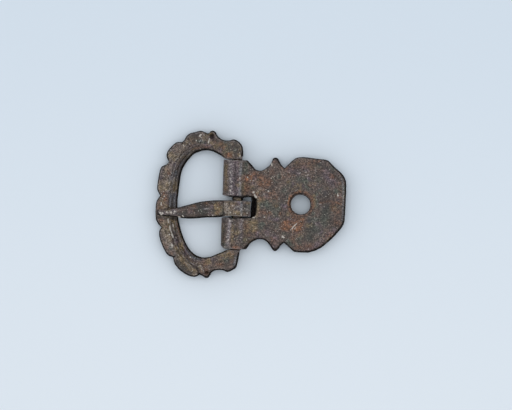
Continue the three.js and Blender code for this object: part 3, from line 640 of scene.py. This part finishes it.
class Bench:
    """The node tree of a material or of the world, built a node at a time."""

    def __init__(self, owner):
        owner.use_nodes = True
        self.tree = owner.node_tree
        self.tree.nodes.clear()
        self.place = None

    def millimetres(self):
        """The place on the object, in millimetres."""
        if self.place is None:
            place = self.add("ShaderNodeTexCoord").outputs["Object"]
            mapping = self.add("ShaderNodeMapping", Vector=place)
            mapping.inputs["Scale"].default_value = (1 / MM,) * 3
            self.place = mapping.outputs["Vector"]
        return self.place

    def add(self, kind, settings=None, **inputs):
        node = self.tree.nodes.new(kind)
        for key, value in (settings or {}).items():
            setattr(node, key, value)
        for key, value in inputs.items():
            self.plug(value, node.inputs[key.replace("_", " ")])
        return node

    def plug(self, value, socket):
        if isinstance(value, bpy.types.NodeSocket):
            self.tree.links.new(value, socket)
        else:
            socket.default_value = value

    def attribute(self, name):
        """A number that the piece's vertices carry."""
        return self.add("ShaderNodeAttribute", {"attribute_name": name}).outputs["Fac"]

    def noise(self, per_mm, detail, roughness, shift):
        """Noise with about that many blotches to a millimetre."""
        moved = self.add("ShaderNodeMapping", Vector=self.millimetres())
        moved.inputs["Location"].default_value = (shift, 2 * shift, 3 * shift)
        node = self.add(
            "ShaderNodeTexNoise",
            Vector=moved.outputs["Vector"],
            Scale=per_mm,
            Detail=detail,
            Roughness=roughness,
        )
        return node.outputs["Fac"]

    def span(self, value, low, high, to_low=0.0, to_high=1.0):
        """The value's stretch from low to high, eased onto another stretch."""
        node = self.add("ShaderNodeMapRange", {"interpolation_type": "SMOOTHSTEP"}, Value=value)
        stretch = {"From Min": low, "From Max": high, "To Min": to_low, "To Max": to_high}
        for socket, number in stretch.items():
            node.inputs[socket].default_value = number
        return node.outputs["Result"]

    def sums(self, operation, a, b):
        node = self.add("ShaderNodeMath", {"operation": operation})
        self.plug(a, node.inputs[0])
        self.plug(b, node.inputs[1])
        return node.outputs["Value"]

    def times(self, a, b):
        return self.sums("MULTIPLY", a, b)

    def most(self, a, b):
        return self.sums("MAXIMUM", a, b)

    def mix(self, amount, a, b, blend="MIX"):
        node = self.add("ShaderNodeMix", {"data_type": "RGBA", "blend_type": blend})
        self.plug(amount, node.inputs["Factor"])
        for value, socket in ((a, node.inputs[6]), (b, node.inputs[7])):
            self.plug(value if isinstance(value, bpy.types.NodeSocket) else (*value, 1.0), socket)
        return node.outputs[2]


def iron_finish(name, look, tints, shift):
    """Corroded forged iron: mottled brown skin, stains, rust, dark hollows and rubbed ridges,
    with painted highlights, glints and shade.

    Every noise is shifted by a number of its own, so that no two patterns line up.
    """
    material = bpy.data.materials.new(name)
    bench = Bench(material)
    attribute, noise, span, mix = bench.attribute, bench.noise, bench.span, bench.mix
    times, most, sums = bench.times, bench.most, bench.sums

    relief = attribute("relief")
    ridges = attribute("ridges")
    rim = attribute("rim")
    inside = attribute("inside")

    broad = noise(0.3, 6, 0.6, shift)
    middle = noise(1.0, 5, 0.62, shift + 7)
    small = noise(1.9, 4, 0.62, shift + 61)
    fine = noise(3.6, 3, 0.6, shift + 13)
    patches = noise(0.8, 4, 0.55, shift + 89)

    def stroke_amount(kind, least=0.6):
        """The strokes of that kind, stains and painted light alike, patchy down to the least share.
        """
        amount = span(attribute(kind), 0.0, 0.75)
        return times(amount, span(patches, 0.38, 0.6, least, 1.0))

    def loose(amount, further):
        """Patches scattered all over, the more the larger the amount."""
        scatter = noise(0.34, 5, 0.55, shift + further)
        return span(scatter, 0.62 - 0.26 * amount, 0.76 - 0.2 * amount)

    def tinted(skin, amount, stained):
        return mix(times(amount, 0.95), skin, stained)

    # Skin: broad mottling, then patches of the other tints and rust
    skin = mix(span(broad, 0.36, 0.64), look.skin_dark, look.skin_light)
    skin = tinted(skin, most(loose(tints.green_share, 23), stroke_amount("green")), look.green)
    skin = tinted(skin, stroke_amount("slate"), look.slate)
    skin = tinted(skin, most(loose(tints.violet_share, 31), stroke_amount("violet")), look.violet)
    skin = tinted(skin, most(loose(tints.olive_share, 43), stroke_amount("olive")), look.olive)
    fresh = stroke_amount("rust", 0.7)
    rust = most(times(loose(tints.rust_share, 57), 0.7), fresh)
    fresh = times(span(small, 0.36, 0.66, 0.25, 1.0), span(fresh, 0.55, 1.0))
    skin = tinted(skin, rust, mix(fresh, look.rust_dark, look.rust_bright))

    # Fine mottling of light and dark
    tone = times(span(middle, 0.36, 0.64, 0.9, 1.1), span(small, 0.34, 0.66, 0.6, 1.4))
    tone = times(tone, span(fine, 0.34, 0.66, 0.34, 1.66))
    tone_colour = bench.add("ShaderNodeCombineColor", Red=tone, Green=tone, Blue=tone).outputs[0]
    skin = mix(1.0, skin, tone_colour, "MULTIPLY")
    # Dark patches, and the painted shadows of the dark strokes
    skin = mix(times(stroke_amount("dark", 0.6), 0.85), skin, look.skin_black)

    # Ridges rubbed pale, with painted highlights on the ridges, knuckles and edges, in specks
    lines = attribute("rubbed_and_highlight")
    rubbed_and_highlight = most(times(span(ridges, 0.25, 1.3), look.ridge_share), lines)
    rubbed_and_highlight = times(rubbed_and_highlight, span(small, 0.42, 0.62, 0.2, 1.0))
    skin = mix(times(rubbed_and_highlight, 0.62), skin, look.rubbed_and_highlight)

    # Darker in the hollows and grooves, and painted shade on the walls, the inside and along the
    # rim
    specks = noise(3.6, 1, 0.5, shift + 71)
    hollow = most(span(relief, -0.1, -0.8), span(specks, 0.36, 0.28, 0.0, 0.8))
    hollow = times(hollow, 0.7)
    groove = times(span(ridges, -0.25, -1.6), 0.85)
    # Painted shade along the rim, except where strokes turn it off
    edge = times(rim, span(attribute("no_rim_shade"), 0.0, 0.8, 1.0, 0.05))
    edge = times(edge, span(middle, 0.3, 0.6, 0.88, 1.0))
    dark = most(most(hollow, groove), most(edge, inside))
    skin = mix(times(dark, 0.97), skin, look.hollows_and_shade)

    # Pale grains that paint glints, and the pale specks and painted glints of the bright strokes
    glints = times(span(specks, 0.665, 0.71), span(middle, 0.38, 0.54))
    glints = times(glints, span(dark, 0.1, 0.6, look.glint_amount, 0.1))
    bright = times(attribute("bright"), span(fine, 0.34, 0.6, 0.4, 1.0))
    pale = most(glints, span(bright, 0.1, 0.48))
    pale = most(pale, times(lines, span(fine, 0.54, 0.66)))
    skin = mix(times(pale, 0.93), skin, look.pale_glint)

    # Roughness and small relief
    rough = span(middle, 0.3, 0.7, look.roughness - 0.1, look.roughness + 0.12)
    rough = sums("ADD", rough, times(rust, 0.14))
    rough = sums("SUBTRACT", rough, times(rubbed_and_highlight, 0.16))
    crust = sums("ADD", times(middle, 0.9), times(small, 0.7))
    crust = sums("ADD", crust, times(fine, 0.4))
    bump = bench.add(
        "ShaderNodeBump", Strength=look.crust_strength, Distance=look.crust_depth, Height=crust
    )
    shader = bench.add(
        "ShaderNodeBsdfPrincipled", Base_Color=skin, Roughness=rough, Normal=bump.outputs["Normal"]
    )
    bench.plug(span(dark, 0.1, 0.55, look.sheen, 0.0), shader.inputs["Specular IOR Level"])
    bench.add("ShaderNodeOutputMaterial", Surface=shader.outputs["BSDF"])
    return material


# Settings


def colour(name, description, default):
    return FloatVectorProperty(
        name=name, description=description, default=default, size=3, min=0, max=1, subtype="COLOR"
    )


def length(name, description, default):
    return FloatProperty(
        name=name,
        description=description,
        default=default,
        min=0,
        subtype="DISTANCE",
        unit="LENGTH",
        precision=6,
    )


def share(name, description, default):
    return FloatProperty(
        name=name, description=description, default=default, min=0, max=1, subtype="FACTOR"
    )


def tint(name, words, default):
    return share(f"{name} Share", f"How far the skin turns to {words}", default)


def power(name, description, default):
    return FloatProperty(
        name=name, description=description, default=default, min=0, unit="POWER"
    )


class BUCKLE_PG_iron(bpy.types.PropertyGroup):
    skin_dark: colour("Dark Skin", "Darker part of the brown skin", (0.060, 0.043, 0.037))
    skin_light: colour("Light Skin", "Lighter part of the brown skin", (0.097, 0.068, 0.056))
    # Also the colour of the painted shadows of the dark strokes
    skin_black: colour("Black Skin", "Skin blackened by scale", (0.026, 0.020, 0.018))
    violet: colour("Violet Tint", "Violet grey where the skin is thin", (0.098, 0.070, 0.084))
    green: colour("Green Tint", "Greenish grey stain", (0.062, 0.068, 0.055))
    # Also the colour of some painted highlight lines
    slate: colour("Slate Tint", "Bluish grey where the metal shows", (0.078, 0.083, 0.096))
    olive: colour("Olive Tint", "Olive brown stain", (0.152, 0.107, 0.057))
    rust_dark: colour("Dark Rust", "Rust where it is thick", (0.124, 0.063, 0.041))
    rust_bright: colour("Bright Rust", "Rust where it is fresh", (0.172, 0.080, 0.043))
    # Colour of the dark hollows and grooves, and of the painted shade on the walls, the inside and
    # the rims
    hollows_and_shade: colour("Grime", "Dirt in the hollows", (0.006, 0.006, 0.006))
    # Also the colour of the painted highlights on the knuckles, the ridges and the edges
    rubbed_and_highlight: colour("Rubbed Metal", "Metal rubbed bare on the ridges", (0.235, 0.212, 0.222))
    # Colour of the painted glints and the pale specks
    pale_glint: colour("Pale Grain", "Grains of pale scale", (0.45, 0.41, 0.37))
    # How far the ridges take the rubbed colour, which also paints their highlight
    ridge_share: share("Rubbed Ridges", "How far the ridges are rubbed", 0.75)
    sheen: share("Sheen", "Strength of the skin's shine", 0.3)
    # Share of the painted glints that shows
    glint_amount: share("Grain Amount", "Share of the pale grains that shows", 0.85)
    roughness: share("Roughness", "Roughness of the skin", 0.56)
    crust_strength: share("Crust Strength", "Strength of the fine relief", 0.75)
    crust_depth: length("Crust Depth", "Depth of the fine relief", 0.16 * MM)


class BUCKLE_PG_frame(bpy.types.PropertyGroup):
    grain: length("Grain", "Size of the faces that the frame is skinned in", 0.085 * MM)
    kept: share("Kept Faces", "Share of the faces kept after the corrosion", 0.59)
    hammering: length("Hammer Marks", "Size of the hammered unevenness", 2.6 * MM)
    waviness: length("Waviness", "Depth of the hammered unevenness", 0.15 * MM)
    grit: length("Grit", "Depth of the fine crust", 0.07 * MM)
    pitting: length("Pitting", "Depth of the corrosion pits", 0.08 * MM)
    olive_share: tint("Olive", "olive", 0.55)
    violet_share: tint("Violet", "violet grey", 0.2)
    green_share: tint("Green", "greenish grey", 0.2)
    rust_share: tint("Rust", "rust", 0.2)
    file_width: length("File Width", "Half width of the file that cut the grooves", 0.45 * MM)
    band_top: length("Band Top", "Height of the lobed band", 2.9 * MM)
    stained_from: length("Stained From", "Height below which the stains fade", 2.0 * MM)


class BUCKLE_PG_plate(bpy.types.PropertyGroup):
    grain: length("Grain", "Size of the faces that the plate is skinned in", 0.1 * MM)
    kept: share("Kept Faces", "Share of the faces kept after the corrosion", 0.45)
    hammering: length("Hammer Marks", "Size of the hammered unevenness", 3.4 * MM)
    waviness: length("Waviness", "Depth of the hammered unevenness", 0.13 * MM)
    grit: length("Grit", "Depth of the fine crust", 0.06 * MM)
    pitting: length("Pitting", "Depth of the corrosion pits", 0.06 * MM)
    olive_share: tint("Olive", "olive", 0.1)
    violet_share: tint("Violet", "violet grey", 0.2)
    green_share: tint("Green", "greenish grey", 0.3)
    rust_share: tint("Rust", "rust", 0.25)
    leaf_top: length("Leaf Top", "Height of the front leaf", 3.5 * MM)
    stained_from: length("Stained From", "Height below which the stains fade", 3.3 * MM)
    seat_radius: length("Seat Radius", "Radius of the print that the rivet's head left", 3.2 * MM)
    seat_depth: length("Seat Depth", "Depth of the rivet head's print", 0.06 * MM)


class BUCKLE_PG_tongue(bpy.types.PropertyGroup):
    grain: length("Grain", "Size of the faces that the tongue is skinned in", 0.065 * MM)
    kept: share("Kept Faces", "Share of the faces kept after the corrosion", 1.0)
    hammering: length("Hammer Marks", "Size of the hammered unevenness", 1.9 * MM)
    waviness: length("Waviness", "Depth of the hammered unevenness", 0.12 * MM)
    grit: length("Grit", "Depth of the fine crust", 0.06 * MM)
    pitting: length("Pitting", "Depth of the corrosion pits", 0.05 * MM)
    olive_share: tint("Olive", "olive", 0.25)
    violet_share: tint("Violet", "violet grey", 0.3)
    green_share: tint("Green", "greenish grey", 0.35)
    rust_share: tint("Rust", "rust", 0.2)
    stained_from: length("Stained From", "Height below which the stains fade", 3.3 * MM)


class BUCKLE_PG_stage(bpy.types.PropertyGroup):
    floor_near: colour("Near Floor", "Colour of the floor below the buckle", (0.690, 0.734, 0.791))
    floor_far: colour("Far Floor", "Colour of the floor above the buckle", (0.608, 0.670, 0.746))
    sky_colour: colour("Sky Colour", "Colour of the even light", (0.93, 0.975, 1.0))
    sky_strength: share("Sky", "Strength of the even light", 0.7)
    lamp_strength: power("Lamp", "Power of the soft lamp overhead", 0.78)
    side_strength: power("Side Lamps", "Power of each of the two side lamps", 0.33)
    lamp_colour: colour("Lamp Colour", "Colour of the lamp overhead", (0.94, 0.98, 1.0))
    side_colour: colour("Side Colour", "Colour of the two side lamps", (1.0, 0.96, 0.92))
    lamp_size: length("Lamp Size", "Side of each square lamp", 0.34)
    lamp_spread: length("Lamp Spread", "How far each lamp stands to the left or right", 0.4)
    lamp_height: length("Lamp Height", "Height of the lamps above the floor", 0.48)
    lamp_forward: length("Lamp Forward", "How far the lamps stand towards the view's top", 0.03)
    view_width: length("View Width", "Width of what the camera sees", VIEW_WIDTH * MM)
    camera_height: length("Camera Height", "Height of the camera above the floor", 0.6)
    camera_turn: FloatProperty(
        name="Camera Turn",
        description="Turn of the camera about its own axis",
        default=PHOTO_TURN,
        subtype="ANGLE",
    )


# Pieces, stage and panel


def age(piece, node, settings, stains_and_light, rounds, shift, walls_from=NO_FOLD):
    """Wear, corrosion, stains and material of a forged piece, and its place in the assembly."""
    regrain(piece, settings.grain, rounds)
    corrode_all(piece, node, settings)
    mark_relief(piece, settings.grain, walls_from)
    mark_stains_and_light(piece, settings.stained_from, stains_and_light, walls_from)
    thin_out(piece, settings.kept)
    work_on(piece)
    bpy.ops.object.shade_smooth()
    look = bpy.context.scene.buckle_iron
    piece.data.materials.append(iron_finish(f"{node}_iron_skin", look, settings, shift))
    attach(piece, node)
    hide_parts(node)


def placed():
    """The object just added, with its place, turn and scale in its mesh."""
    bpy.ops.object.transform_apply(location=True, rotation=True, scale=True)
    return bpy.context.active_object


def file_cutter(width, reach):
    """A file's edge along X, as a long bar that stands on one corner of its square section."""
    bpy.ops.mesh.primitive_cylinder_add(
        vertices=4, radius=width, depth=reach, rotation=(0, math.radians(90), 0)
    )
    cutter = placed()
    bpy.ops.object.mode_set(mode="EDIT")
    bpy.ops.mesh.select_all(action="SELECT")
    bpy.ops.mesh.bevel(offset=0.15 * width, segments=2, affect="EDGES")
    bpy.ops.object.mode_set(mode="OBJECT")
    return cutter


class BUCKLE_OT_frame(bpy.types.Operator):
    """Finish the lobed frame with its file cuts, hollows and corrosion"""

    bl_idname = "buckle.frame"
    bl_label = "Frame"

    def execute(self, context):
        settings = context.scene.buckle_frame
        piece = forged_copy("frame", "frame_forging")
        carve(piece, self.file_cuts(settings) + self.hollows(settings) + self.shoulders())
        age(piece, "frame", settings, FRAME_STAINS_AND_LIGHT, rounds=1, shift=3)
        return {"FINISHED"}

    def file_cuts(self, settings):
        """One cutter for each notch, dipping into the band towards the notch."""
        model = file_cutter(settings.file_width, 1.0)
        cutters = []
        for (x0, y0), (x1, y1), depth in FILE_CUTS:
            start = Vector((x0, y0, 0)) * MM
            end = Vector((x1, y1, 0)) * MM
            edge = settings.band_top + settings.file_width
            start.z = edge - depth * MM
            end.z = edge + FILE_RISE
            along = end - start
            cutter = model.copy()
            cutter.data = model.data.copy()
            bpy.context.scene.collection.objects.link(cutter)
            turn = along.to_track_quat("X", "Z").to_matrix().to_4x4()
            stretch = Matrix.Diagonal((FILE_OVERRUN * along.length, 1, 1, 1))
            cutter.data.transform(Matrix.Translation((start + end) / 2) @ turn @ stretch)
            cutters.append(cutter)
        bpy.data.objects.remove(model)
        return cutters

    def hollows(self, settings):
        """Round cutters that dip into the two nubs."""
        cutters = []
        for x, y, radius, depth in NUB_HOLLOWS:
            height = settings.band_top + (NUB_HEIGHT + radius - depth) * MM
            bpy.ops.mesh.primitive_uv_sphere_add(
                segments=24, ring_count=12, radius=radius * MM, location=(x * MM, y * MM, height)
            )
            cutters.append(placed())
        return cutters

    def shoulders(self):
        """Cutters that file the bar's two shoulders flush with the edges of the ends."""
        cutters = []
        for middle in SHOULDERS:
            place = [MM * along for along in middle]
            bpy.ops.mesh.primitive_cube_add(size=MM, scale=SHOULDER_BLOCK, location=place)
            cutters.append(placed())
        return cutters


class BUCKLE_OT_plate(bpy.types.Operator):
    """Finish the folded plate with the rivet's print, its burrs and corrosion"""

    bl_idname = "buckle.plate"
    bl_label = "Plate"

    def execute(self, context):
        settings = context.scene.buckle_plate
        piece = forged_copy("plate", "plate_sheet")
        carve(piece, [self.rivet_print(settings)])
        self.add_burrs(piece, settings)
        age(piece, "plate", settings, PLATE_STAINS_AND_LIGHT, rounds=1, shift=11, walls_from=FOLD_SIDE)
        return {"FINISHED"}

    def rivet_print(self, settings):
        """A low round cutter over the rivet hole."""
        height = 1.0 * MM
        low = settings.leaf_top - settings.seat_depth
        bpy.ops.mesh.primitive_cylinder_add(
            vertices=64,
            radius=settings.seat_radius,
            depth=height,
            location=(*RIVET_HOLE, low + height / 2),
        )
        return placed()

    def add_burrs(self, piece, settings):
        """Small lumps on the face beside the slot's end, which the skin then joins to the leaf."""
        lumps = []
        for x, y, radius, height in SLOT_BURRS:
            place = (x * MM, y * MM, settings.leaf_top)
            bpy.ops.mesh.primitive_uv_sphere_add(
                segments=16, ring_count=8, radius=radius * MM, location=place
            )
            bpy.context.active_object.scale.z = height / radius
            lumps.append(placed())
        work_on(piece, *lumps)
        bpy.ops.object.join()


class BUCKLE_OT_tongue(bpy.types.Operator):
    """Finish the tongue with its hammer marks and corrosion"""

    bl_idname = "buckle.tongue"
    bl_label = "Tongue"

    def execute(self, context):
        settings = context.scene.buckle_tongue
        piece = forged_copy("tongue", "tongue_bar")
        age(piece, "tongue", settings, TONGUE_STAINS_AND_LIGHT, rounds=2, shift=23)
        return {"FINISHED"}


class BUCKLE_OT_stage(bpy.types.Operator):
    """Lay the pale floor and set the even light, the soft lamp and the camera straight above"""

    bl_idname = "buckle.stage"
    bl_label = "Floor, Light and Camera"

    def execute(self, context):
        settings = context.scene.buckle_stage
        self.lay_floor(settings)
        self.light(settings)
        self.set_camera(settings)
        return {"FINISHED"}

    def lay_floor(self, settings):
        """A wide floor just under the buckle, whose colour changes along the view's height."""
        bpy.ops.mesh.primitive_plane_add(size=FLOOR_SIZE, location=(0, 0, -FLOOR_DROP))
        floor = placed()
        floor.name = "floor"
        material = bpy.data.materials.new("pale_floor")
        bench = Bench(material)
        split = bench.add("ShaderNodeSeparateXYZ", Vector=bench.millimetres())
        fade = bench.span(split.outputs["Y"], -FLOOR_FADE, FLOOR_FADE)
        shader = bench.add(
            "ShaderNodeBsdfPrincipled",
            Base_Color=bench.mix(fade, settings.floor_near, settings.floor_far),
            Roughness=0.9,
            Specular_IOR_Level=0.1,
        )
        bench.add("ShaderNodeOutputMaterial", Surface=shader.outputs["BSDF"])
        floor.data.materials.append(material)

    def light(self, settings):
        """Even light on the pieces, the far floor's colour behind them, and three soft lamps."""
        world = bpy.data.worlds.new("even_light")
        bpy.context.scene.world = world
        bench = Bench(world)
        even = bench.add(
            "ShaderNodeBackground", Color=(*settings.sky_colour, 1), Strength=settings.sky_strength
        )
        seen = bench.add("ShaderNodeBackground", Color=(*settings.floor_far, 1), Strength=1.0)
        rays = bench.add("ShaderNodeLightPath").outputs
        shown = rays["Is Camera Ray"]
        for ray in ("Is Glossy Ray", "Is Transmission Ray"):
            shown = bench.sums("ADD", shown, rays[ray])
        mix = bench.add("ShaderNodeMixShader")
        for value, socket in zip((shown, even.outputs[0], seen.outputs[0]), mix.inputs):
            bench.plug(value, socket)
        bench.add("ShaderNodeOutputWorld", Surface=mix.outputs[0])

        for side in (-1, 0, 1):
            lamp_data = bpy.data.lights.new("soft_lamp", "AREA")
            lamp_data.shape = "SQUARE"
            lamp_data.size = settings.lamp_size
            lamp_data.energy = settings.side_strength if side else settings.lamp_strength
            lamp_data.color = settings.side_colour if side else settings.lamp_colour
            lamp = bpy.data.objects.new("soft_lamp", lamp_data)
            bpy.context.scene.collection.objects.link(lamp)
            lamp.location = (
                side * settings.lamp_spread, settings.lamp_forward, settings.lamp_height
            )
            lamp.rotation_euler = (-lamp.location).to_track_quat("-Z", "Y").to_euler()
            lamp.visible_camera = False

    def set_camera(self, settings):
        """A camera straight above, which sees the set width at the height of the band."""
        data = bpy.data.cameras.new("camera")
        data.lens = data.sensor_width * settings.camera_height / settings.view_width
        camera = bpy.data.objects.new("camera", data)
        bpy.context.scene.collection.objects.link(camera)
        camera.location = (*VIEW_MIDDLE, settings.camera_height + VIEW_LEVEL)
        camera.rotation_euler = (0, 0, settings.camera_turn)
        bpy.context.scene.camera = camera
        bpy.context.scene.view_settings.view_transform = "Standard"


class BUCKLE_PT_panel(bpy.types.Panel):
    """The buckle's pieces and settings"""

    bl_idname = "BUCKLE_PT_panel"
    bl_label = "Strap Buckle"
    bl_space_type = "VIEW_3D"
    bl_region_type = "UI"
    bl_category = "Buckle"

    def draw(self, context):
        layout = self.layout
        for group, operator in (
            ("buckle_iron", None),
            ("buckle_frame", "buckle.frame"),
            ("buckle_plate", "buckle.plate"),
            ("buckle_tongue", "buckle.tongue"),
            ("buckle_stage", "buckle.stage"),
        ):
            settings = getattr(context.scene, group)
            box = layout.box()
            if operator:
                box.operator(operator)
            for key in settings.__annotations__:
                box.prop(settings, key)


GROUPS = {
    "buckle_iron": BUCKLE_PG_iron,
    "buckle_frame": BUCKLE_PG_frame,
    "buckle_plate": BUCKLE_PG_plate,
    "buckle_tongue": BUCKLE_PG_tongue,
    "buckle_stage": BUCKLE_PG_stage,
}
OPERATORS = (BUCKLE_OT_frame, BUCKLE_OT_plate, BUCKLE_OT_tongue, BUCKLE_OT_stage)


def register():
    for group in GROUPS.values():
        bpy.utils.register_class(group)
    for operator in OPERATORS:
        bpy.utils.register_class(operator)
    bpy.utils.register_class(BUCKLE_PT_panel)
    for name, group in GROUPS.items():
        setattr(bpy.types.Scene, name, PointerProperty(type=group))


def unregister():
    for name in GROUPS:
        delattr(bpy.types.Scene, name)
    bpy.utils.unregister_class(BUCKLE_PT_panel)
    for operator in OPERATORS:
        bpy.utils.unregister_class(operator)
    for group in GROUPS.values():
        bpy.utils.unregister_class(group)


def main():
    register()
    bpy.ops.buckle.stage()
    bpy.ops.buckle.frame()
    bpy.ops.buckle.plate()
    bpy.ops.buckle.tongue()
    bpy.context.view_layer.update()


if __name__ == "__main__":
    main()
